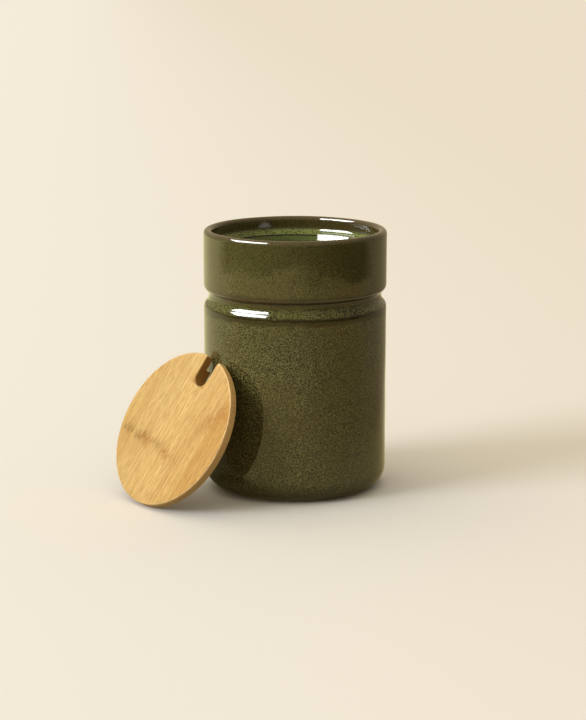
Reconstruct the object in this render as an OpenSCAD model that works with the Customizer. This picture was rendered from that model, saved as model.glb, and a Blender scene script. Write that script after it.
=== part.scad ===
// Glazed stoneware jar with a loose bamboo lid. The lid is off: it stands on its edge and leans on the wall.
// Millimetres, +Z up. The origin is on the jar's axis, in the plane that the jar stands on.

/* [Jar] */
// Outside diameter over the glaze
jar_d = 106; // [100:1:112]
// Height from the foot to the crest of the rim
jar_h = 151.4; // [148:0.2:160]
// Thickness of the wall, with the glaze on both sides
wall_t = 5.1; // [4.7:0.1:5.6]
// Thickness of the floor above the foot, with its glaze
floor_t = 6.6; // [6:0.2:8]
// Radius of the rounded edge between the wall and the foot
edge_r = 12; // [8:0.5:14]
// Radius of the corner between the wall and the floor inside
corner_r = 8; // [6:0.5:10]
// Thickness of the fired glaze
glaze_t = 0.5; // [0.4:0.05:0.7]

/* [Foot] */
// Width of the bare ring that the jar stands on
foot_w = 5.5; // [4:0.5:8]
// Depth of the hollow inside that ring
foot_hollow = 1.6; // [1:0.1:2]
// Height at which the glaze stops, above the foot
glaze_stop = 0.8; // [0.7:0.1:2]

/* [Groove] */
// Height of the deepest line of the groove round the wall
groove_z = 113; // [108:0.5:116]
// Depth of the groove
groove_depth = 2.9; // [2:0.1:3.4]
// Radius of the groove's round bottom
groove_bottom_r = 4.6; // [4:0.1:6]
// Radius of the groove's round shoulders
groove_shoulder_r = 4.6; // [4:0.1:6]
// How far the inside of the wall swells behind the groove
swell_depth = 2.2; // [1.5:0.1:3]
// Radius of the swell's crest and of its two foots
swell_r = 12; // [10:0.5:14]

/* [Lid seat] */
// Depth of the ledge that carries the lid, below the crest of the rim
seat_drop = 9.5; // [9:0.1:11]
// Radius of the hollow curve between the mouth and the ledge
seat_fillet_r = 3.5; // [3:0.1:4]
// Radius of the ledge's inner edge
seat_edge_r = 1; // [0.8:0.1:1.4]
// Height of the bevel that leads from the ledge's edge down to the throat
bevel_h = 2.8; // [2:0.1:3.2]
// Slope of the bevel, in degrees from upright
bevel_slope = 35; // [30:1:38]
// Radius of the bevel's lower edge
bevel_edge_r = 2; // [1.5:0.1:2.5]
// Height of the straight throat below the bevel
throat_h = 1.5; // [1:0.1:2]
// Radius of the two curves that lead from the throat back to the wall
flare_r = 5; // [4:0.5:5.5]

/* [Lid] */
// Diameter of the lid
lid_d = 92.6; // [90:0.2:93.4]
// Thickness of the lid's flange, which rests on the ledge
lid_t = 4.8; // [4:0.2:6]
// Diameter of the plug under the flange, which drops into the throat
plug_d = 76; // [70:0.5:78]
// Depth of the plug below the flange
plug_h = 4; // [2:0.1:4.2]
// Radius of the lid's softened edges
lid_edge_r = 0.8; // [0.4:0.1:1.2]
// Width of the slot for a spoon or a finger
slot_w = 11.2; // [8:0.2:14]
// Length of the slot from the lid's edge to its round end
slot_len = 18; // [14:0.5:24]
// Width of the bamboo strips that the lid is glued up from
strip_w = 20; // [19:0.5:22]

/* [Leaning lid] */
// How far the lid leans back from upright, in degrees
lid_lean = 29.5; // [28:0.5:34]
// Direction that the lid's outer face looks, in degrees round the jar from +X
lid_facing = 219.5; // [214:0.5:225]
// Direction of the lid's centre from the jar's axis, in degrees from +X
lid_bearing = 209.3; // [206:0.1:213]
// Distance of the lid's centre from the jar's axis
lid_reach = 78.5; // [78.5:0.1:100]
// Turn of the lid in its own plane, which sets where the slot points
lid_turn = -12.6; // [-60:0.1:60]
// Gap between the lid's lowest edge and the plane that the jar stands on
lid_gap = 0.25; // [0.25:0.05:1]

/* [Hidden] */
$fn = 96;
past = 2; // how far a cutting shape runs past the face it cuts
jar_r = jar_d / 2;
inner_r = jar_r - wall_t;
lip_r = wall_t / 2;
lip_z = jar_h - lip_r;
foot_r = jar_r - edge_r;
ledge_z = jar_h - seat_drop;
seat_edge_x = inner_r - seat_fillet_r;
seat_edge_z = ledge_z - seat_edge_r;
bevel_edge_x = seat_edge_x - (seat_edge_r - bevel_edge_r) * cos(bevel_slope) - bevel_h * tan(bevel_slope);
bevel_edge_z = seat_edge_z + (seat_edge_r - bevel_edge_r) * sin(bevel_slope) - bevel_h;
throat_r = bevel_edge_x - bevel_edge_r;
flare_top_z = bevel_edge_z - throat_h;
flare_h = curve_height(inner_r - throat_r, 2 * flare_r);
lid_r = lid_d / 2;
plug_r = plug_d / 2;
plug_end_z = -lid_t / 2 - plug_h;
slot_end_y = lid_r - slot_len + slot_w / 2;
// height of the leaning lid's middle above its lowest edge
lid_half_h = (lid_r - lid_edge_r) * cos(lid_lean) + (lid_t / 2 - lid_edge_r) * sin(lid_lean) + lid_edge_r;
clay_color = "#b9a587";
glaze_color = "#4b4223";
bamboo_color = "#dfb877";

// Height over which two touching arcs, whose radii add up to radii, step sideways by step
function curve_height(step, radii) = sqrt(2 * step * radii - step * step);

// Area that a round groove takes from a region whose edge is at x. The inset shrinks the region.
module groove_area(x, z, depth, bottom_r, shoulder_r, inset) {
    half = curve_height(depth, bottom_r + shoulder_r);
    bottom_x = x - depth + bottom_r;
    shoulder_x = x - shoulder_r;
    difference() {
        polygon([
            [bottom_x, z], [shoulder_x, z + half], [x + past, z + half],
            [x + past, z - half], [shoulder_x, z - half]
        ]);
        for (side = [-1, 1]) translate([shoulder_x, z + side * half]) circle(shoulder_r - inset);
    }
    translate([bottom_x, z]) circle(bottom_r + inset);
}

// Everything inside the jar's outer surface, up to the middle of the lip
module outer_area(inset) {
    difference() {
        union() {
            translate([0, inset]) square([foot_r, edge_r]);
            translate([foot_r, edge_r]) circle(edge_r - inset);
            translate([0, edge_r]) square([jar_r - inset, lip_z - edge_r]);
        }
        groove_area(jar_r, groove_z, groove_depth, groove_bottom_r, groove_shoulder_r, inset);
    }
}

// The room below the throat, with its round floor corner and the swell behind the groove
module room_area(inset) {
    corner_z = floor_t + corner_r;
    room_top_z = flare_top_z - flare_h;
    difference() {
        union() {
            translate([0, floor_t - inset]) square([inner_r - corner_r, corner_r + inset]);
            translate([inner_r - corner_r, corner_z]) circle(corner_r + inset);
            translate([0, corner_z]) square([inner_r + inset, room_top_z - corner_z]);
        }
        groove_area(inner_r, groove_z, swell_depth, swell_r, swell_r, -inset);
    }
    // curves from the room up to the throat
    translate([inner_r - flare_r, room_top_z]) circle(flare_r + inset);
    difference() {
        polygon([
            [0, room_top_z - flare_r], [inner_r - flare_r, room_top_z - flare_r],
            [inner_r - flare_r, room_top_z], [throat_r + flare_r, flare_top_z], [0, flare_top_z]
        ]);
        translate([throat_r + flare_r, flare_top_z]) circle(flare_r - inset);
    }
}

// The point where the bevel touches a round edge whose middle is at x, z
function bevel_touch(x, z, r) = [x - r * cos(bevel_slope), z + r * sin(bevel_slope)];

// The throat, the bevel, the ledge and the mouth above it
module mouth_area(inset) {
    fillet_z = ledge_z + seat_fillet_r;
    translate([0, flare_top_z]) square([throat_r + inset, throat_h]);
    difference() {
        polygon([
            [0, bevel_edge_z], [bevel_edge_x, bevel_edge_z],
            bevel_touch(bevel_edge_x, bevel_edge_z, bevel_edge_r - inset),
            bevel_touch(seat_edge_x, seat_edge_z, seat_edge_r - inset),
            [seat_edge_x, seat_edge_z], [seat_edge_x, fillet_z], [0, fillet_z]
        ]);
        translate([bevel_edge_x, bevel_edge_z]) circle(bevel_edge_r - inset);
        translate([seat_edge_x, seat_edge_z]) circle(seat_edge_r - inset);
    }
    translate([seat_edge_x, fillet_z]) circle(seat_fillet_r + inset);
    translate([0, fillet_z]) square([inner_r + inset, jar_h + past - fillet_z]);
}

// Half section of the wall, the floor and the rounded lip
module wall_area(inset) {
    difference() {
        outer_area(inset);
        room_area(inset);
        mouth_area(inset);
    }
    translate([jar_r - lip_r, lip_z]) circle(lip_r - inset);
}

// Fired clay under the glaze, with the bare ring that the jar stands on
module jar_body() {
    ring_in_r = foot_r - foot_w;
    color(clay_color) rotate_extrude() difference() {
        union() {
            wall_area(glaze_t);
            translate([ring_in_r, 0]) square([foot_w, edge_r / 2]);
        }
        polygon([
            [0, -past], [ring_in_r, -past], [ring_in_r, 0],
            [ring_in_r - foot_hollow, foot_hollow], [0, foot_hollow]
        ]);
    }
}

// Glass skin over the whole jar, inside and out, which stops just above the foot
module glaze_coat() {
    color(glaze_color) rotate_extrude() difference() {
        wall_area(0);
        wall_area(glaze_t);
        translate([0, -past]) square([jar_r, past + glaze_stop]);
    }
}

// Whole lid, lying flat with the middle of its flange at the origin, its plug below, and its slot open towards +Y
module lid_disc() {
    difference() {
        rotate_extrude() {
            translate([0, -lid_t / 2]) square([lid_r - lid_edge_r, lid_t]);
            translate([0, lid_edge_r - lid_t / 2]) square([lid_r, lid_t - 2 * lid_edge_r]);
            for (side = [-1, 1]) translate([lid_r - lid_edge_r, side * (lid_t / 2 - lid_edge_r)]) circle(lid_edge_r);
            // the plug, with its lower edge softened
            translate([0, plug_end_z]) square([plug_r - lid_edge_r, plug_h + lid_t / 2]);
            translate([0, plug_end_z + lid_edge_r]) square([plug_r, plug_h + lid_t / 2 - lid_edge_r]);
            translate([plug_r - lid_edge_r, plug_end_z + lid_edge_r]) circle(lid_edge_r);
        }
        translate([0, 0, plug_end_z - past]) linear_extrude(height = lid_t + plug_h + 2 * past) {
            translate([0, slot_end_y]) circle(d = slot_w);
            translate([-slot_w / 2, slot_end_y]) square([slot_w, slot_len]);
        }
    }
}

// Puts the lid on its edge, leaning back against the jar
module leaning() {
    translate([lid_reach * cos(lid_bearing), lid_reach * sin(lid_bearing), lid_gap + lid_half_h])
        rotate([0, 0, lid_facing + 90])
        rotate([90 - lid_lean, 0, 0])
        rotate([0, 0, lid_turn])
        children();
}

// One bamboo strip of the lid's board. Place 0 is the middle strip, and the strips meet face to face.
module lid_strip(place) {
    color(bamboo_color) leaning() intersection() {
        lid_disc();
        translate([(place - 0.5) * strip_w, -lid_r - past, plug_end_z - past])
            cube([strip_w, lid_d + 2 * past, lid_t + plug_h + 2 * past]);
    }
}

jar_body();
glaze_coat();
lid_strip(-2);  // lid_strip_1
lid_strip(-1);  // lid_strip_2
lid_strip(0);  // lid_strip_3
lid_strip(1);  // lid_strip_4
lid_strip(2);  // lid_strip_5
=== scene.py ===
"""Looks of a glazed stoneware jar and its loose bamboo lid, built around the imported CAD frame.

Metres, +Z up. The jar's axis is the Z axis, and the jar stands on the plane z = 0. Sections, outlines and
materials are worked out in millimetres.
"""

import math

import bmesh
import bpy
from mathutils import Matrix, Vector, noise
from mathutils.geometry import delaunay_2d_cdt


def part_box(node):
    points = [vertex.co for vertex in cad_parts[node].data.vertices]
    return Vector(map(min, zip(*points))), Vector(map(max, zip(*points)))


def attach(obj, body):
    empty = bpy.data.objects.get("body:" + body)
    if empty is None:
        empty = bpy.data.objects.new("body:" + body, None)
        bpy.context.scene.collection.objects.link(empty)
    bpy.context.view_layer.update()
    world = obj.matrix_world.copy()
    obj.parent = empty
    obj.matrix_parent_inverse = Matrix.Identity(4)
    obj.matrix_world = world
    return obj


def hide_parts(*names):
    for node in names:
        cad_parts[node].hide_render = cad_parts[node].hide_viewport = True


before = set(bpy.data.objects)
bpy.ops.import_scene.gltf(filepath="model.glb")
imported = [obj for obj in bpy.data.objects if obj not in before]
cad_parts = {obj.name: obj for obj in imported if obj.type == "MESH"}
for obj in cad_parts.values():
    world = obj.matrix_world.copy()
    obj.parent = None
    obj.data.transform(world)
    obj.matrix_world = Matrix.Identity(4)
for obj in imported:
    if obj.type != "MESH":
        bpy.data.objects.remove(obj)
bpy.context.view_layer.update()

MM = 0.001

# The jar's section, in millimetres, as the CAD model has it
JAR_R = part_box("glaze_coat")[1].x / MM
JAR_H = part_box("glaze_coat")[1].z / MM
WALL = 5.1
FLOOR = 6.6
EDGE_R = 12
CORNER_R = 8
GLAZE = 0.5
GLAZE_STOP = 0.8
FOOT_W = 5.5
FOOT_HOLLOW = 1.6
GROOVE_Z = 113
GROOVE_DEPTH = 2.9
GROOVE_R = 4.6
SWELL_DEPTH = 2.2
SWELL_R = 12
LEDGE_Z = JAR_H - 9.5
FILLET_R = 3.5
SEAT_EDGE_R = 1
BEVEL_H = 2.8
BEVEL_SLOPE = math.radians(35)
BEVEL_EDGE_R = 2
THROAT_H = 1.5
FLARE_R = 5

# The lid, in millimetres, and where it leans
LID_R = 46.3
LID_T = 4.8
LID_EDGE_R = 0.8
PLUG_R = 38
PLUG_H = 4
SLOT_HALF = 5.6
SLOT_END_Y = LID_R - 18 + SLOT_HALF
SLOT_CORNER_R = 1.5
STRIP_W = 20
LID_LEAN = 29.5
LID_FACING = 219.5
LID_BEARING = math.radians(209.3)
LID_REACH = 78.5
LID_TURN = -12.6

# How far the glaze's surface strays in and out, over long and short stretches, and how far the rim waves up
# and down, how deep below it that is felt, and how fast it goes round
SWIM, SWIM_SPAN = 0.09, 17
RIPPLE, RIPPLE_SPAN = 0.03, 6
RIM_WAVE, RIM_WAVE_DEPTH, RIM_WAVE_PACE = 0.14, 12, 2.2
ROLL_BULGE, ROLL_SAG = 0.1, 0.22  # the glaze's thick end above the foot
FOOT_SOFT = 0.5  # rounding of the foot ring's edges

# The ripple of the sanded bamboo: its height, and its fine and broad spans across and along the fibres
RELIEF = 0.03
RELIEF_FINE, RELIEF_BROAD = (1.6, 45), (9, 20)

# How finely the meshes are cut: sides of a lathed shape, steps along a seen and a hidden section, sides of
# each stretch of the lid's rim, steps along a glue joint, the grid inside the lid's flat faces with the
# square of its distance from their outline, and the angle from which an edge is sharp
TURNS = 192
SEEN_STEP, HIDDEN_STEP, FOOT_STEP = 4, 12, 3
RIM_STEPS = 40
JOINT_STEPS = 20
GRID_X, GRID_Y, GRID_GAP_SQUARED = 0.8, 3, 0.5
SHARP_ANGLE = math.radians(40)


# ---------------------------------------------------------------- meshes

def arc(center, radius, start, end, step=7.0, count=None):
    """Points on an arc from one angle to another, in degrees, with both ends."""
    count = count or max(2, math.ceil(abs(end - start) / step))
    angles = [math.radians(start + (end - start) * i / count) for i in range(count + 1)]
    return [(center[0] + radius * math.cos(a), center[1] + radius * math.sin(a)) for a in angles]


def fill_gaps(points, longest):
    """The same line, with points added so that no step is longer than that."""
    filled = [points[0]]
    for (x0, y0), (x1, y1) in zip(points, points[1:]):
        count = max(1, math.ceil(math.hypot(x1 - x0, y1 - y0) / longest))
        filled += [(x0 + (x1 - x0) * i / count, y0 + (y1 - y0) * i / count) for i in range(1, count + 1)]
    return filled


def jar_outside(inset, start=-90.0):
    """The jar's section from its foot up to the crest of the lip, in from the glaze's surface."""
    half = math.sqrt(2 * GROOVE_DEPTH * 2 * GROOVE_R - GROOVE_DEPTH**2)
    slope = math.degrees(math.asin(half / (2 * GROOVE_R)))
    bottom = (JAR_R - GROOVE_DEPTH + GROOVE_R, GROOVE_Z)
    shoulder_x = JAR_R - GROOVE_R
    return (
        arc((JAR_R - EDGE_R, EDGE_R), EDGE_R - inset, start, 0)
        + arc((shoulder_x, GROOVE_Z - half), GROOVE_R - inset, 0, slope)
        + arc(bottom, GROOVE_R + inset, 180 + slope, 180 - slope)[1:-1]
        + arc((shoulder_x, GROOVE_Z + half), GROOVE_R - inset, -slope, 0)
        + arc((JAR_R - WALL / 2, JAR_H - WALL / 2), WALL / 2 - inset, 0, 90)
    )


def jar_inside(inset):
    """The section from the crest of the lip down to the middle of the floor."""
    inner = JAR_R - WALL
    seat_edge = (inner - FILLET_R, LEDGE_Z - SEAT_EDGE_R)
    run = BEVEL_EDGE_R - SEAT_EDGE_R
    bevel_edge = (
        seat_edge[0] + run * math.cos(BEVEL_SLOPE) - BEVEL_H * math.tan(BEVEL_SLOPE),
        seat_edge[1] - run * math.sin(BEVEL_SLOPE) - BEVEL_H,
    )
    touch = 180 - math.degrees(BEVEL_SLOPE)
    throat = bevel_edge[0] - BEVEL_EDGE_R
    flare_top = bevel_edge[1] - THROAT_H
    flare_h = math.sqrt(2 * (inner - throat) * 2 * FLARE_R - (inner - throat) ** 2)
    flare_turn = math.degrees(math.asin(flare_h / (2 * FLARE_R)))
    swell_h = math.sqrt(2 * SWELL_DEPTH * 2 * SWELL_R - SWELL_DEPTH**2)
    swell_turn = math.degrees(math.asin(swell_h / (2 * SWELL_R)))
    swell = (inner - SWELL_DEPTH + SWELL_R, GROOVE_Z)
    return (
        arc((JAR_R - WALL / 2, JAR_H - WALL / 2), WALL / 2 - inset, 90, 180)
        + arc((inner - FILLET_R, LEDGE_Z + FILLET_R), FILLET_R + inset, 0, -90)
        + arc(seat_edge, SEAT_EDGE_R - inset, 90, touch, 15)
        + arc(bevel_edge, BEVEL_EDGE_R - inset, touch, 180, 10)
        + arc((throat + FLARE_R, flare_top), FLARE_R - inset, 180, 180 + flare_turn)
        + arc((inner - FLARE_R, flare_top - flare_h), FLARE_R + inset, flare_turn, 0)[1:]
        + arc((inner - SWELL_R, GROOVE_Z + swell_h), SWELL_R + inset, 0, -swell_turn, 5)
        + arc(swell, SWELL_R - inset, 180 - swell_turn, 180 + swell_turn, 5)[1:-1]
        + arc((inner - SWELL_R, GROOVE_Z - swell_h), SWELL_R + inset, swell_turn, 0, 5)
        + arc((inner - CORNER_R, FLOOR + CORNER_R), CORNER_R + inset, 0, -90)
        + [(0, FLOOR - inset)]
    )


def lathe(name, section, surface=None):
    """A closed shape turned from a section that starts and ends on the axis. surface moves its points."""
    mesh = bmesh.new()
    rings = []
    for r, z in section:
        if r < 1e-6:
            rings.append([mesh.verts.new((0, 0, z * MM))])
            continue
        ring = []
        for i in range(TURNS):
            a = 2 * math.pi * i / TURNS
            out, up = surface(r, z, a) if surface else (r, z)
            ring.append(mesh.verts.new((out * math.cos(a) * MM, out * math.sin(a) * MM, up * MM)))
        rings.append(ring)
    for low, high in zip(rings, rings[1:]):
        for i in range(TURNS):
            j = (i + 1) % TURNS
            corners = [low[i % len(low)], low[j % len(low)], high[j % len(high)], high[i % len(high)]]
            mesh.faces.new(list(dict.fromkeys(corners)))
    return finish_mesh(name, mesh)


def finish_mesh(name, mesh):
    """Turns a bmesh into an object in the scene, smooth except at its sharp edges."""
    bmesh.ops.recalc_face_normals(mesh, faces=mesh.faces)
    data = bpy.data.meshes.new(name)
    mesh.to_mesh(data)
    mesh.free()
    data.shade_smooth()
    data.set_sharp_from_angle(angle=SHARP_ANGLE)
    piece = bpy.data.objects.new(name, data)
    bpy.context.scene.collection.objects.link(piece)
    return piece


def glaze_ripple(r, z, a):
    """The glaze's surface isn't quite true: it swims a little in and out, and the rim up and down."""
    place = Vector((r * math.cos(a), r * math.sin(a), z))
    swim = SWIM * noise.noise(place / SWIM_SPAN) + RIPPLE * noise.noise(place / RIPPLE_SPAN)
    near_rim = max(0.0, (z - JAR_H + RIM_WAVE_DEPTH) / RIM_WAVE_DEPTH)
    around = Vector((math.cos(a), math.sin(a), 4.0)) * RIM_WAVE_PACE
    return r + swim, z + RIM_WAVE * near_rim * noise.noise(around)


def make_glaze():
    """Glass skin over the jar, inside and out, which ends in a soft roll just above the foot."""
    stop = -math.degrees(math.asin((EDGE_R - GLAZE_STOP) / EDGE_R))
    inner_stop = -math.degrees(math.asin((EDGE_R - GLAZE_STOP) / (EDGE_R - GLAZE)))
    seen = fill_gaps(jar_outside(0, stop)[:-1] + jar_inside(0), SEEN_STEP)
    hidden = fill_gaps(jar_outside(GLAZE, inner_stop)[:-1] + jar_inside(GLAZE), HIDDEN_STEP)
    (r0, z0), (r1, z1) = seen[0], hidden[0]
    roll = []
    for t in (0.15, 0.35, 0.55, 0.75, 0.9):
        swell = math.sin(math.pi * t)
        r = r0 + (r1 - r0) * t + ROLL_BULGE * (1 - t) * swell
        z = z0 + (z1 - z0) * t - ROLL_SAG * swell
        roll.append((r, z))
    return lathe("jar_glaze", list(reversed(seen)) + roll + hidden, glaze_ripple_outside(hidden))


def glaze_ripple_outside(hidden):
    """The ripple, on the glaze's seen side only: where it meets the clay it stays true."""
    still = set(hidden)
    return lambda r, z, a: (r, z) if (r, z) in still else glaze_ripple(r, z, a)


def make_clay():
    """Fired clay under the glaze, with its bare foot ring turned at the edges."""
    ring_out = JAR_R - EDGE_R
    ring_in = ring_out - FOOT_W
    hollow_r = ring_in - FOOT_HOLLOW
    foot = (
        [(0, FOOT_HOLLOW), (hollow_r - 1, FOOT_HOLLOW), (hollow_r, FOOT_HOLLOW - 0.12)]
        + arc((ring_in + FOOT_SOFT, FOOT_SOFT), FOOT_SOFT, 225, 270, 15)
        + arc((ring_out, FOOT_SOFT), FOOT_SOFT, 270, 290, 10)
    )
    body = jar_outside(GLAZE, -84)[:-1] + jar_inside(GLAZE)
    return lathe("jar_clay", fill_gaps(foot, FOOT_STEP) + fill_gaps(body, HIDDEN_STEP))


def lid_outline(left, right, radius, slot_inset, corner_r):
    """A strip's outline at one height, counterclockwise, in a lid of that radius.

    Every outline of a strip has the same number of points, and where two outlines run along the same glue
    joint or the same side of the slot, so do their points.
    """
    def rim(start, end):
        return arc((0, 0), radius, start, end, count=RIM_STEPS)[1:-1]

    def rim_angle(x):
        return math.degrees(math.acos(x / radius))

    def joint(x):
        reach, plug_reach = math.sqrt(radius**2 - x**2), math.sqrt(PLUG_R**2 - x**2)
        steps = [plug_reach * (2 * i / JOINT_STEPS - 1) for i in range(JOINT_STEPS + 1)]
        inner = [max(-reach, min(reach, y)) for y in steps]
        return [(x, y) for y in [-reach, *inner, reach]]

    if right == LID_R:
        start = rim_angle(left)
        return joint(left)[::-1] + rim(-start, start)
    if left == -LID_R:
        start = rim_angle(right)
        return joint(right) + rim(start, 360 - start)
    start, end = rim_angle(right), rim_angle(left)
    if left * right > 0:
        return joint(right) + rim(start, end) + joint(left)[::-1] + rim(-end, -start)

    # the middle strip, with the slot in its upper end
    side = SLOT_HALF + slot_inset
    corner_x = side + corner_r
    corner_y = math.sqrt((radius - corner_r) ** 2 - corner_x**2)
    turn = math.degrees(math.atan2(corner_y, corner_x))
    plug_y = math.sqrt(PLUG_R**2 - SLOT_HALF**2)
    slot_side = [(side, min(corner_y, plug_y + (SLOT_END_Y - plug_y) * i / 6)) for i in range(6)]
    slot_half = arc((corner_x, corner_y), corner_r, turn, 180, count=8) + slot_side
    slot_end = arc((0, SLOT_END_Y), side, 0, -180, count=24)
    other_half = [(-x, y) for x, y in reversed(slot_half)]
    return (
        joint(right) + rim(start, turn) + slot_half + slot_end + other_half + rim(180 - turn, end)
        + joint(left)[::-1] + rim(-end, -start)
    )


def lid_levels(left, right):
    """The outlines of a strip from its upper face, round the flange and the plug, to its lower face."""
    turns = [math.radians(turn) for turn in range(0, 91, 15)]
    soft = [(LID_EDGE_R * (1 - math.cos(a)), LID_EDGE_R * (1 - math.sin(a))) for a in turns]
    levels = [
        (lid_outline(left, right, LID_R - inset, inset, SLOT_CORNER_R - inset), LID_T / 2 - drop)
        for inset, drop in reversed(soft)
    ]
    levels += [
        (lid_outline(left, right, LID_R - inset, 0, SLOT_CORNER_R - inset), drop - LID_T / 2)
        for inset, drop in soft
    ]
    levels.append((lid_outline(left, right, PLUG_R, 0, 0), -LID_T / 2))
    levels += [
        (lid_outline(left, right, PLUG_R - inset, inset, 0), drop - LID_T / 2 - PLUG_H)
        for inset, drop in soft
    ]
    return levels


def lid_relief(x, y):
    """Sanded bamboo keeps a faint ripple along its fibres."""
    fine = noise.noise(Vector((x / RELIEF_FINE[0], y / RELIEF_FINE[1], 3.0)))
    broad = noise.noise(Vector((x / RELIEF_BROAD[0], y / RELIEF_BROAD[1], 8.0)))
    return RELIEF * fine + RELIEF * broad


def make_lid_strip(number, left, right, placement):
    """One strip of the lid's board, with its share of the flange and the plug, and soft outer edges."""
    mesh = bmesh.new()
    made = {}

    def corner(x, y, z):
        key = (round(x, 4), round(y, 4), round(z, 4))
        if key not in made:
            made[key] = mesh.verts.new((x * MM, y * MM, z * MM))
        return made[key]

    loops = [[corner(x, y, z) for x, y in outline] for outline, z in lid_levels(left, right)]
    for upper, lower in zip(loops, loops[1:]):
        for i in range(len(upper)):
            around = dict.fromkeys([upper[i - 1], upper[i], lower[i], lower[i - 1]])
            if len(around) > 2:
                mesh.faces.new(list(around))
    for loop, side in ((loops[0], 1), (loops[-1], -1)):
        fill_face(mesh, list(dict.fromkeys(loop)), side)
    mesh.transform(placement)
    return finish_mesh(f"bamboo_strip_{number}", mesh)


def fill_face(mesh, loop, side):
    """Fills a flat outline with triangles fine enough to carry the board's relief."""
    outline = [Vector((v.co.x / MM, v.co.y / MM)) for v in loop]
    level = loop[0].co.z
    low_x, high_x = min(p.x for p in outline), max(p.x for p in outline)
    low_y, high_y = min(p.y for p in outline), max(p.y for p in outline)
    grid = []
    for i in range(1, int((high_x - low_x) / GRID_X)):
        shift = GRID_Y / 2 if i % 2 else 0
        for j in range(1, int((high_y - low_y) / GRID_Y)):
            p = Vector((low_x + GRID_X * i, low_y + GRID_Y * j + shift))
            if min((p - q).length_squared for q in outline) > GRID_GAP_SQUARED:
                grid.append(p)
    count = len(outline)
    edges = [(i, (i + 1) % count) for i in range(count)]
    inside, tolerance = 1, 1e-5
    points, _, faces, sources, _, _ = delaunay_2d_cdt(
        outline + grid, edges, [list(range(count))], inside, tolerance
    )
    corners = []
    for point, source in zip(points, sources):
        if source and source[0] < count:
            corners.append(loop[source[0]])
        else:
            z = level + side * lid_relief(point.x, point.y) * MM
            corners.append(mesh.verts.new((point.x * MM, point.y * MM, z)))
    for face in faces:
        mesh.faces.new([corners[i] for i in face])
    for corner in corners:
        if not corner.link_faces:
            mesh.verts.remove(corner)


# ---------------------------------------------------------------- materials

class Nodes:
    """Short calls that add nodes to a tree. Any value may be a number, a colour or another node's output."""

    def __init__(self, tree):
        self.tree = tree

    def add(self, kind, **settings):
        node = self.tree.nodes.new(kind)
        for name, value in settings.items():
            setattr(node, name, value)
        return node

    def set(self, socket, value):
        if isinstance(value, bpy.types.NodeSocket):
            self.tree.links.new(value, socket)
        elif socket.type == "RGBA" and len(value) == 3:
            socket.default_value = (*value, 1)
        else:
            socket.default_value = value

    def math(self, operation, *values):
        node = self.add("ShaderNodeMath", operation=operation)
        for socket, value in zip(node.inputs, values):
            self.set(socket, value)
        return node.outputs[0]

    def vector(self, operation, *values):
        node = self.add("ShaderNodeVectorMath", operation=operation)
        for socket, value in zip(node.inputs, values):
            self.set(socket, value)
        return node.outputs["Value" if operation in ("LENGTH", "DOT_PRODUCT") else "Vector"]

    def object_mm(self, placement=Matrix()):
        """Object coordinates in millimetres, seen from a frame that is placed in the object."""
        coordinates = self.add("ShaderNodeTexCoord")
        mapping = self.add("ShaderNodeMapping", vector_type="TEXTURE")
        for socket, value in zip(mapping.inputs, (
            coordinates.outputs["Object"], placement.translation, placement.to_euler(), (MM,) * 3
        )):
            self.set(socket, value)
        return mapping.outputs[0]

    def split(self, vector):
        node = self.add("ShaderNodeSeparateXYZ")
        self.set(node.inputs[0], vector)
        return node.outputs

    def join(self, x, y, z):
        node = self.add("ShaderNodeCombineXYZ")
        for socket, value in zip(node.inputs, (x, y, z)):
            self.set(socket, value)
        return node.outputs[0]

    def length(self, x, y):
        """How far a point of a plane is from its middle."""
        return self.vector("LENGTH", self.join(x, y, 0.0))

    def noise(self, vector, scale, detail=2.0, roughness=0.5):
        node = self.add("ShaderNodeTexNoise")
        self.set(node.inputs["Vector"], vector)
        self.set(node.inputs["Scale"], scale)
        self.set(node.inputs["Detail"], detail)
        self.set(node.inputs["Roughness"], roughness)
        return node.outputs["Fac"]

    def dots(self, vector, scale, reach):
        """1 within reach of scattered points, and 0 elsewhere. The reach is a share of their spacing."""
        node = self.add("ShaderNodeTexVoronoi")
        self.set(node.inputs["Vector"], vector)
        self.set(node.inputs["Scale"], scale)
        return self.math("LESS_THAN", node.outputs["Distance"], reach)

    def ramp(self, value, low, high, to_low=0.0, to_high=1.0):
        """A smooth step from low to high."""
        node = self.add("ShaderNodeMapRange", interpolation_type="SMOOTHSTEP")
        for socket, number in zip(node.inputs, (value, low, high, to_low, to_high)):
            self.set(socket, number)
        return node.outputs[0]

    def band(self, value, low, high, soft):
        """1 between low and high, and 0 outside, with soft ends."""
        rise = self.ramp(value, low - soft, low + soft)
        fall = self.ramp(value, high - soft, high + soft, 1.0, 0.0)
        return self.math("MULTIPLY", rise, fall)

    def mix(self, factor, a, b, blend="MIX"):
        node = self.add("ShaderNodeMix", data_type="RGBA", blend_type=blend)
        self.set(node.inputs["Factor"], factor)
        self.set(node.inputs[6], a)
        self.set(node.inputs[7], b)
        return node.outputs[2]

    def coat(self, under, tone, zone, strength):
        """Lays a tone over a colour, where the zone is, at that strength."""
        return self.mix(self.math("MULTIPLY", zone, strength), under, tone)

    def bump(self, height, distance, strength, normal=None):
        node = self.add("ShaderNodeBump")
        self.set(node.inputs["Height"], height)
        self.set(node.inputs["Distance"], distance)
        self.set(node.inputs["Strength"], strength)
        if normal is not None:
            self.set(node.inputs["Normal"], normal)
        return node.outputs["Normal"]


def new_material(name, **constants):
    """A material, its node helper and its shader, with the numbers that are the same all over set."""
    material = bpy.data.materials.new(name)
    material.use_nodes = True
    shader = material.node_tree.nodes["Principled BSDF"]
    for socket, value in constants.items():
        shader.inputs[socket.replace("_", " ")].default_value = value
    return material, Nodes(material.node_tree), shader


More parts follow.
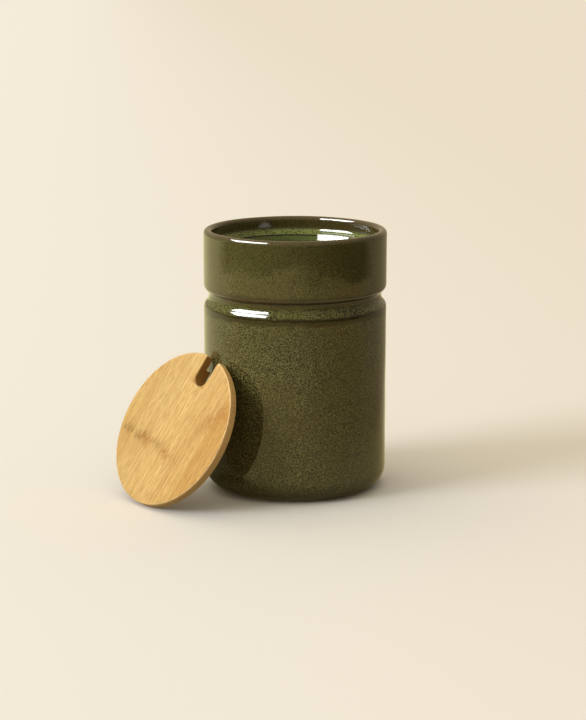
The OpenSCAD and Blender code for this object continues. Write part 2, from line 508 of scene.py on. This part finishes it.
def outside_glaze(n, place, z, grain, lower_wall):
    """The outside: speckled olive, with zones that follow the groove and the foot.

    Also gives the zone of the groove's lower shoulder, where specks crowd.
    """
    # olive, with a stronger speckle in patches and on the lower wall, and broad browner and greener clouds
    patch = n.ramp(n.noise(place, 0.05, 2.0), 0.35, 0.65)
    contrast = n.math("MULTIPLY", lower_wall, n.math("ADD", 0.7, n.math("MULTIPLY", patch, 0.3)))
    speckled = n.mix(grain, (0.008, 0.006, 0.001), (0.236, 0.206, 0.066))
    colour = n.mix(contrast, (0.109, 0.088, 0.022), speckled)
    cloud = n.noise(place, 0.03, 2.0)
    colour = n.coat(colour, (0.100, 0.070, 0.018), n.ramp(cloud, 0.45, 0.65), 0.30)
    colour = n.coat(colour, (0.078, 0.080, 0.018), n.ramp(cloud, 0.30, 0.50, 1.0, 0.0), 0.25)

    # heights wander a little round the jar, so that no band has a ruled edge
    wander = n.math("SUBTRACT", n.noise(place, 0.11, 3.0), 0.5)
    height = n.math("ADD", z, n.math("MULTIPLY", wander, 3.0))

    # painted shade and dark reflection in a band under the groove's lower shoulder; brown on its upper flank;
    # brown on its upper edge where the glaze runs thin, painted lighter there against a dark reflection line;
    # painted shade as a dark line in the crease along its bottom; and green on its lower shoulder
    under = n.band(height, GROOVE_Z - 9.4, GROOVE_Z - 5.2, 0.9)
    flank = n.band(height, GROOVE_Z + 1.0, GROOVE_Z + 6.0, 1.6)
    edge = n.band(z, GROOVE_Z + 3.2, GROOVE_Z + 4.9, 0.5)
    line = n.band(height, GROOVE_Z - 0.4, GROOVE_Z + 0.6, 0.5)
    shoulder = n.band(height, GROOVE_Z - 5.1, GROOVE_Z - 0.7, 0.7)
    colour = n.coat(colour, (0.030, 0.019, 0.002), under, 0.84)
    colour = n.coat(colour, n.mix(grain, (0.026, 0.017, 0.004), (0.056, 0.037, 0.011)), flank, 0.93)
    colour = n.coat(colour, (0.160, 0.110, 0.046), edge, 0.70)
    colour = n.coat(colour, (0.066, 0.056, 0.006), line, 0.7)
    colour = n.mix(shoulder, colour, n.mix(grain, (0.084, 0.074, 0.014), (0.205, 0.188, 0.050)))

    # darker towards the foot, as painted shade and dark reflection near the floor, and a near-black painted
    # contact shadow where the glaze ends
    colour = n.coat(colour, (0.030, 0.024, 0.004), n.ramp(z, 2.0, 13.0, 1.0, 0.0), 0.75)
    colour = n.mix(n.ramp(z, 1.0, 3.2, 0.9, 0.0), colour, (0.010, 0.003, 0.001))
    return colour, shoulder


def inside_glaze(n, z, grain):
    """The inside: brown on the wall of the mouth, green on the ledge and in the throat, and olive below.

    Also gives the zone of the ledge, where specks crowd.
    """
    seat = n.band(z, LEDGE_Z - 0.7, LEDGE_Z + 2.2, 0.7)
    below = n.ramp(z, LEDGE_Z - 1.4, LEDGE_Z - 0.4, 1.0, 0.0)
    # a near-black line is painted at the ledge's inner edge, as the dark reflection and shade of its round
    corner = n.band(z, LEDGE_Z - 1.3, LEDGE_Z - 0.6, 0.25)
    mouth = n.mix(grain, (0.052, 0.038, 0.010), (0.092, 0.068, 0.020))
    ledge = n.mix(grain, (0.13, 0.15, 0.030), (0.25, 0.27, 0.080))
    throat = n.mix(grain, (0.066, 0.082, 0.016), (0.125, 0.145, 0.034))
    room = n.mix(grain, (0.062, 0.056, 0.022), (0.125, 0.112, 0.048))
    lower = n.mix(n.ramp(z, LEDGE_Z - 24, LEDGE_Z - 6), room, throat)
    colour = n.mix(below, n.mix(seat, mouth, ledge), lower)
    colour = n.mix(corner, colour, (0.012, 0.010, 0.004))
    return colour, seat


def glaze_material():
    """Dark olive reactive glaze: speckled, and it breaks green or brown where it runs thick or thin."""
    material, n, shader = new_material("olive_glaze", IOR=1.55)
    place = n.object_mm()
    x, y, z = n.split(place)
    outside = n.ramp(n.length(x, y), JAR_R - 3.8, JAR_R - 3.4)
    inside = n.math("SUBTRACT", 1.0, outside)
    grain_height = n.noise(place, 1.5, 2.0, 0.7)
    grain = n.ramp(grain_height, 0.43, 0.58)

    # 1 on the lower wall and less towards the rim: how strong the speckle and the larger specks are
    lower_wall = n.math("MULTIPLY", n.ramp(z, 100, 124, 1.0, 0.55), n.ramp(z, 133, 139, 1.0, 0.65))
    outer, shoulder = outside_glaze(n, place, z, grain, lower_wall)
    inner, seat = inside_glaze(n, z, grain)
    colour = n.mix(outside, inner, outer)

    # the lip, where the glaze is thin
    lip = n.ramp(z, JAR_H - 2.4, JAR_H - 1.0)
    colour = n.coat(colour, n.mix(grain, (0.095, 0.066, 0.026), (0.145, 0.105, 0.044)), lip, 0.85)

    # black specks, dense on the groove's lower shoulder and on the ledge, with larger ones in patches
    many = n.math("MAXIMUM", n.math("MULTIPLY", shoulder, outside), n.math("MULTIPLY", seat, inside))
    gather = n.math("MULTIPLY", n.ramp(n.noise(place, 0.06, 1.0), 0.5, 0.72), lower_wall)
    reach = n.math("ADD", n.math("MULTIPLY", many, 0.24), n.math("MULTIPLY", gather, 0.12))
    specks = n.dots(place, 0.75, n.math("ADD", reach, 0.08))
    spots = n.dots(place, 0.45, n.math("MULTIPLY", n.math("MULTIPLY", gather, outside), 0.21))
    fine = n.dots(place, 1.3, n.math("MULTIPLY", n.ramp(z, 96, 122, 0.33, 0.16), outside))
    black = n.math("MAXIMUM", n.math("MAXIMUM", specks, spots), n.math("MULTIPLY", fine, 0.95))
    n.set(shader.inputs["Base Color"], n.coat(colour, (0.010, 0.008, 0.002), black, 0.88))

    n.set(shader.inputs["Roughness"], n.ramp(n.noise(place, 0.4, 2.0), 0.3, 0.7, 0.03, 0.07))
    peel = n.bump(n.noise(place, 0.55, 1.0), 0.00002, 0.4)
    n.set(shader.inputs["Normal"], n.bump(grain_height, 0.00001, 0.3, peel))
    return material


def clay_material():
    """Bare fired stoneware: buff, with iron specks and rings from the wheel, toasted at the foot's edge."""
    material, n, shader = new_material("bare_clay", Roughness=0.85)
    place = n.object_mm()
    x, y, _ = n.split(place)
    r = n.length(x, y)
    cloud = n.noise(place, 0.12, 4.0, 0.6)
    rings = n.math("SINE", n.math("ADD", n.math("MULTIPLY", r, 5.2), n.math("MULTIPLY", cloud, 9.0)))
    toast = n.ramp(r, JAR_R - EDGE_R + 0.2, JAR_R - EDGE_R + 2.2)
    colour = n.mix(n.ramp(cloud, 0.3, 0.7), (0.36, 0.26, 0.165), (0.50, 0.385, 0.265))
    colour = n.coat(colour, (0.29, 0.20, 0.13), n.ramp(rings, -1.0, 1.0), 0.18)
    colour = n.coat(colour, (0.20, 0.105, 0.055), toast, 0.7)
    colour = n.coat(colour, (0.075, 0.045, 0.030), n.dots(place, 0.8, 0.13), 0.75)
    n.set(shader.inputs["Base Color"], colour)
    coarse = n.bump(n.noise(place, 1.6, 4.0, 0.7), 0.00012, 0.5)
    n.set(shader.inputs["Normal"], n.bump(rings, 0.00005, 0.4, coarse))
    return material


def knot_mark(n, x, y, streak, flecks, knot):
    """How strongly a knot shows: a ragged line across the fibres, with a core, a halo and faded ends."""
    knot_x, knot_y, slope, width, strength, _ = knot
    along = n.math("SUBTRACT", x, knot_x)
    line = n.math("ADD", knot_y, n.math("MULTIPLY", along, slope))
    ragged = n.math("MULTIPLY", n.math("SUBTRACT", streak, 0.5), 11.0)
    away = n.math("ABSOLUTE", n.math("ADD", n.math("SUBTRACT", y, line), ragged))
    core = n.ramp(away, 0.0, width, 0.75, 0.0)
    halo = n.ramp(away, 0.0, width * 2.6, 0.25, 0.0)
    reach = n.ramp(n.math("ABSOLUTE", along), 3.0, 12.0, 1.0, 0.0)
    mark = n.math("MULTIPLY", n.math("ADD", core, halo), reach)
    return n.math("MULTIPLY", n.math("MULTIPLY", mark, flecks), strength)


def bamboo_material(number, tint, knots, placement):
    """Sanded and oiled bamboo. The fibres run along the slot, and a knot crosses a strip as a brown band."""
    material, n, shader = new_material(f"bamboo_{number}", Specular_IOR_Level=0.25)
    place = n.object_mm(placement)
    x, y, z = n.split(place)
    shifted = n.math("ADD", x, 37.0 * number)  # so that no two strips have the same fibres

    def fibres(stretch, scale, detail=2.0, roughness=0.5):
        """Noise drawn out along the fibres."""
        return n.noise(n.join(shifted, n.math("MULTIPLY", y, stretch), z), scale, detail, roughness)

    streak = fibres(0.014, 1.9, 3.0, 0.75)
    fine = fibres(0.042, 3.4, 2.0, 0.6)
    colour = n.mix(n.ramp(streak, 0.38, 0.62), (0.545, 0.322, 0.088), (0.740, 0.508, 0.192))
    colour = n.coat(colour, (0.350, 0.168, 0.030), n.ramp(fine, 0.50, 0.62), 0.66)
    colour = n.coat(colour, (0.520, 0.290, 0.077), n.ramp(fibres(0.3, 0.06), 0.35, 0.7), 0.30)
    colour = n.mix(1.0, colour, tint, "MULTIPLY")
    flecks = n.ramp(fibres(0.12, 1.7, 2.0, 0.6), 0.44, 0.56, 0.25, 1.0)
    for knot in knots:
        colour = n.mix(knot_mark(n, x, y, streak, flecks, knot), colour, knot[-1])

    # the round of the edge is painted pale as its highlight, the rim is painted brighter orange for the light
    # the floor throws up on it, and the slot's walls are painted darker as the shade inside the slot
    r = n.length(x, y)
    rim = n.ramp(r, LID_R - 0.2, LID_R - 0.06)
    beside_slot = n.ramp(n.math("ABSOLUTE", x), SLOT_HALF + 0.25, SLOT_HALF + 0.05, 0.0, 1.0)
    slot_shade = n.math("MULTIPLY", beside_slot, n.ramp(y, SLOT_END_Y - 6.2, SLOT_END_Y - 5.4))
    colour = n.coat(colour, (0.90, 0.66, 0.33), n.band(r, LID_R - 0.75, LID_R - 0.2, 0.15), 0.45)
    colour = n.coat(colour, (0.95, 0.57, 0.20), rim, 0.85)
    colour = n.coat(colour, (0.40, 0.190, 0.040), slot_shade, 0.8)

    # the ends of the fibres show as dots where the rim cuts across them
    across_grain = n.ramp(n.math("ABSOLUTE", y), 18.0, 34.0)
    pores = n.dots(n.join(x, n.math("MULTIPLY", y, 0.2), z), 1.1, 0.34)
    ends = n.math("MULTIPLY", n.math("MULTIPLY", pores, rim), across_grain)
    n.set(shader.inputs["Base Color"], n.coat(colour, (0.22, 0.095, 0.020), ends, 0.45))

    n.set(shader.inputs["Roughness"], n.ramp(streak, 0.3, 0.7, 0.52, 0.42))
    n.set(shader.inputs["Normal"], n.bump(fine, 0.00003, 0.5))
    return material


# ---------------------------------------------------------------- the pieces

jar_glaze = make_glaze()
jar_glaze.data.materials.append(glaze_material())
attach(jar_glaze, "jar")
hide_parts("glaze_coat")

jar_clay = make_clay()
jar_clay.data.materials.append(clay_material())
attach(jar_clay, "jar")
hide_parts("jar_body")

# Each strip's tint, and its knots: the knot's place in the lid (2), its slope, width, strength and shade
KNOT_BROWN, KNOT_ORANGE = (0.235, 0.112, 0.014), (0.36, 0.150, 0.018)
STRIP_LOOKS = {
    1: ((0.97, 0.95, 0.90), [(-33, -15.4, 0.1, 4.4, 0.95, KNOT_BROWN)]),
    2: ((1.00, 1.00, 1.00), [(-20, -14.4, 0.1, 4.8, 1.0, KNOT_BROWN),
                             (-12, -14.4, 0.1, 4.6, 0.8, KNOT_ORANGE)]),
    3: ((1.03, 1.02, 1.00), [(-6, -12.6, 0.1, 3.6, 0.7, KNOT_BROWN),
                             (7, -14.2, -0.1, 5.0, 0.95, KNOT_ORANGE)]),
    4: ((0.98, 0.94, 0.88), [(14, -14, -0.2, 3.4, 0.5, KNOT_ORANGE),
                             (27, 17, 1.2, 12.0, 0.9, KNOT_ORANGE)]),
    5: ((0.88, 0.77, 0.60), [(33, 23, 1.0, 12.0, 1.0, KNOT_ORANGE)]),
}


def lid_place():
    """From the lid's own frame, whose Z points out of its upper face, to where it leans on the jar."""
    lean = math.radians(LID_LEAN)
    half_face = (LID_R - LID_EDGE_R) * math.cos(lean)
    half_height = half_face + (LID_T / 2 - LID_EDGE_R) * math.sin(lean) + LID_EDGE_R
    lowest = min(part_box(f"lid_strip_{i}")[0].z for i in range(1, 6))
    reach = LID_REACH * MM
    middle = (reach * math.cos(LID_BEARING), reach * math.sin(LID_BEARING), lowest + half_height * MM)
    return (
        Matrix.Translation(middle)
        @ Matrix.Rotation(math.radians(LID_FACING + 90), 4, "Z")
        @ Matrix.Rotation(math.radians(90 - LID_LEAN), 4, "X")
        @ Matrix.Rotation(math.radians(LID_TURN), 4, "Z")
    )


lid_placement = lid_place()
joints = [(i - 1.5) * STRIP_W for i in range(len(STRIP_LOOKS) - 1)]
for number, left, right in zip(STRIP_LOOKS, [-LID_R, *joints], [*joints, LID_R]):
    strip = make_lid_strip(number, left, right, lid_placement)
    strip.data.materials.append(bamboo_material(number, *STRIP_LOOKS[number], lid_placement))
    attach(strip, "lid")
    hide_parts(f"lid_strip_{number}")


# ---------------------------------------------------------------- floor, light and camera

# Metres. STAGE_HALF is half the floor's side, and the reflected floor lies a hair above the seen one.
STAGE_HALF = 30
REFLECTED_Z = 0.0002

# The edge of the lit paper, as an ellipse round the jar with a slant across it, and the shade behind the lid
PAPER_ACROSS, PAPER_DEPTH, PAPER_SLANT = 0.81, 0.835, 0.08
LID_SHADE_ACROSS, LID_SHADE_DEPTH = -0.095, -0.005

# The key light, as a sun that gives the shadows. Angles are in degrees, from +X and from the floor.
KEY_AZIMUTH, KEY_ELEVATION, KEY_SPREAD = 205.5, 25, 27
KEY_STRENGTH, KEY_COLOUR = 2.0, (0.76, 0.83, 1.0)

# The softbox that the glaze mirrors. Its sides are slopes from the line to its middle.
BOX_AZIMUTH, BOX_ELEVATION, BOX_ROLL, BOX_SKEW = 191, 45, 30, 0.3
BOX_WIDE, BOX_TALL, BOX_BLUR = (-0.34, 0.40), (-0.36, 0.24), 0.012
BOX_RADIANCE = 25.0

# The camera, as it was fitted to the photo: metres, degrees below level and millimetres
CAMERA_PLACE = (-0.00118, -1.1736, 0.3241)
CAMERA_DOWN = 12.05
CAMERA_LENS = 102.58


def bearing(azimuth, elevation):
    """The direction from the jar to a point at that azimuth from +X and that height, in degrees."""
    a, e = math.radians(azimuth), math.radians(elevation)
    return Vector((math.cos(e) * math.cos(a), math.cos(e) * math.sin(a), math.sin(e)))


def make_plane(name, z, material):
    """A wide flat square for the stage."""
    h = STAGE_HALF
    data = bpy.data.meshes.new(name)
    data.from_pydata([(-h, -h, z), (h, -h, z), (h, h, z), (-h, h, z)], [], [(0, 1, 2, 3)])
    data.materials.append(material)
    sheet = bpy.data.objects.new(name, data)
    bpy.context.scene.collection.objects.link(sheet)
    return sheet


def make_floor():
    """The floor that the camera sees. It throws no light on the jar.

    Its colour is painted a little paler on the left, as light that fades towards the right.
    """
    material, n, shader = new_material("pale_floor", Roughness=1.0, Specular_IOR_Level=0.0)
    across, depth, _ = n.split(n.add("ShaderNodeTexCoord").outputs["Object"])
    slant = n.math("ADD", across, n.math("MULTIPLY", depth, 0.1))
    tone = n.mix(n.ramp(slant, -0.35, 0.55), (0.905, 0.865, 0.77), (0.83, 0.755, 0.63))
    n.set(shader.inputs["Base Color"], tone)
    floor = make_plane("floor", 0, material)
    floor.visible_diffuse = floor.visible_glossy = False


def make_reflected_floor():
    """What the glaze mirrors instead of the floor: a sheet of painted reflection, seen in reflections only.

    It is painted pale behind the jar and duller in front of it and at the right. It has painted shade behind
    the lid, and is painted dark where the studio lies beyond the lit paper.
    """
    material, n, shader = new_material("reflected_floor", Roughness=1.0, Specular_IOR_Level=0.0)
    across, depth, _ = n.split(n.add("ShaderNodeTexCoord").outputs["Object"])
    behind = n.ramp(depth, -0.25, 0.25)
    tone = n.mix(behind, (0.76, 0.60, 0.26), (1.0, 0.95, 0.56))
    right_tone = n.mix(behind, (0.60, 0.46, 0.18), (0.42, 0.34, 0.21))
    tone = n.mix(n.ramp(across, 0.03, 0.22), tone, right_tone)
    from_jar = n.length(n.math("DIVIDE", across, PAPER_ACROSS), n.math("DIVIDE", depth, PAPER_DEPTH))
    from_jar = n.math("ADD", from_jar, n.math("MULTIPLY", across, PAPER_SLANT))
    unlit = n.math("MULTIPLY", n.ramp(from_jar, 0.993, 1.007), n.ramp(depth, 0.0, 0.35, 1.0, 0.0))
    tone = n.mix(unlit, tone, (0.03, 0.025, 0.02))
    from_lid = n.length(
        n.math("SUBTRACT", across, LID_SHADE_ACROSS), n.math("SUBTRACT", depth, LID_SHADE_DEPTH)
    )
    tone = n.mix(n.ramp(from_lid, 0.035, 0.08, 0.85, 0.0), tone, (0.04, 0.04, 0.03))
    n.set(shader.inputs["Base Color"], tone)
    reflected = make_plane("reflected_floor", REFLECTED_Z, material)
    reflected.visible_camera = reflected.visible_diffuse = False
    reflected.visible_shadow = reflected.visible_transmission = False


def make_key_light():
    """A soft sun from the left, a little cool."""
    light = bpy.data.lights.new("key", "SUN")
    light.angle = math.radians(KEY_SPREAD)
    light.energy = KEY_STRENGTH
    light.color = KEY_COLOUR
    key = bpy.data.objects.new("key", light)
    key.rotation_euler = bearing(KEY_AZIMUTH, KEY_ELEVATION).to_track_quat("Z", "Y").to_euler()
    key.visible_glossy = False
    bpy.context.scene.collection.objects.link(key)


def softbox(n, sky):
    """The softbox's window in the sky: a tilted and slightly skewed rectangle."""
    toward_box = bearing(BOX_AZIMUTH, BOX_ELEVATION)
    level = Vector((-toward_box.y, toward_box.x, 0)).normalized()
    upright = toward_box.cross(level)
    roll = math.radians(BOX_ROLL)
    wide = level * math.cos(roll) + upright * math.sin(roll)
    tall = upright * math.cos(roll) - level * math.sin(roll)
    ahead = n.vector("DOT_PRODUCT", sky, toward_box)
    beside = n.math("DIVIDE", n.vector("DOT_PRODUCT", sky, wide), ahead)
    over = n.math("DIVIDE", n.vector("DOT_PRODUCT", sky, tall), ahead)
    beside = n.math("ADD", beside, n.math("MULTIPLY", over, BOX_SKEW))
    window = n.math("MULTIPLY", n.band(beside, *BOX_WIDE, BOX_BLUR), n.band(over, *BOX_TALL, BOX_BLUR))
    return n.math("MULTIPLY", window, n.math("GREATER_THAN", ahead, 0.0))


def make_world():
    """The studio: warm fill light, brighter from the left and above, and what the glaze mirrors of it."""
    world = bpy.data.worlds.new("studio")
    world.use_nodes = True
    bpy.context.scene.world = world
    n = Nodes(world.node_tree)
    across, toward_back, up = n.split(n.add("ShaderNodeTexCoord").outputs["Generated"])

    def lean(base, across_gain, back_gain):
        """A brightness that grows across and towards the back."""
        across_part = n.math("MULTIPLY", across, across_gain)
        return n.math("ADD", base, n.math("ADD", across_part, n.math("MULTIPLY", toward_back, back_gain)))

    above = n.math("MULTIPLY", n.math("ADD", 0.42, n.math("MULTIPLY", up, 0.92)), lean(1.0, -0.52, 0.35))
    below = lean(0.24, -0.10, 0.0)
    brightness = n.mix(n.math("GREATER_THAN", up, 0.0), below, above)
    fill = n.mix(1.0, brightness, (0.776, 0.722, 0.617), "MULTIPLY")
    mirrored = n.mix(n.ramp(toward_back, 0.2, 0.95), (0.24, 0.21, 0.16), (0.50, 0.42, 0.28))
    mirrored = n.mix(softbox(n, n.join(across, toward_back, up)), mirrored, (BOX_RADIANCE,) * 3)
    ray = n.add("ShaderNodeLightPath").outputs
    colour = n.mix(ray["Is Glossy Ray"], fill, mirrored)
    colour = n.mix(ray["Is Camera Ray"], colour, (0.86, 0.78, 0.64))
    n.set(world.node_tree.nodes["Background"].inputs["Color"], colour)


def make_camera():
    """A long lens at the front of the jar, looking a little down."""
    data = bpy.data.cameras.new("camera")
    data.sensor_fit = "AUTO"
    data.sensor_width = 36
    data.lens = CAMERA_LENS
    data.clip_end = 2 * STAGE_HALF
    camera = bpy.data.objects.new("camera", data)
    camera.location = CAMERA_PLACE
    camera.rotation_euler = (math.radians(90 - CAMERA_DOWN), 0, 0)
    bpy.context.scene.collection.objects.link(camera)
    bpy.context.scene.camera = camera


make_floor()
make_reflected_floor()
make_key_light()
make_world()
make_camera()
bpy.context.scene.view_settings.view_transform = "Standard"
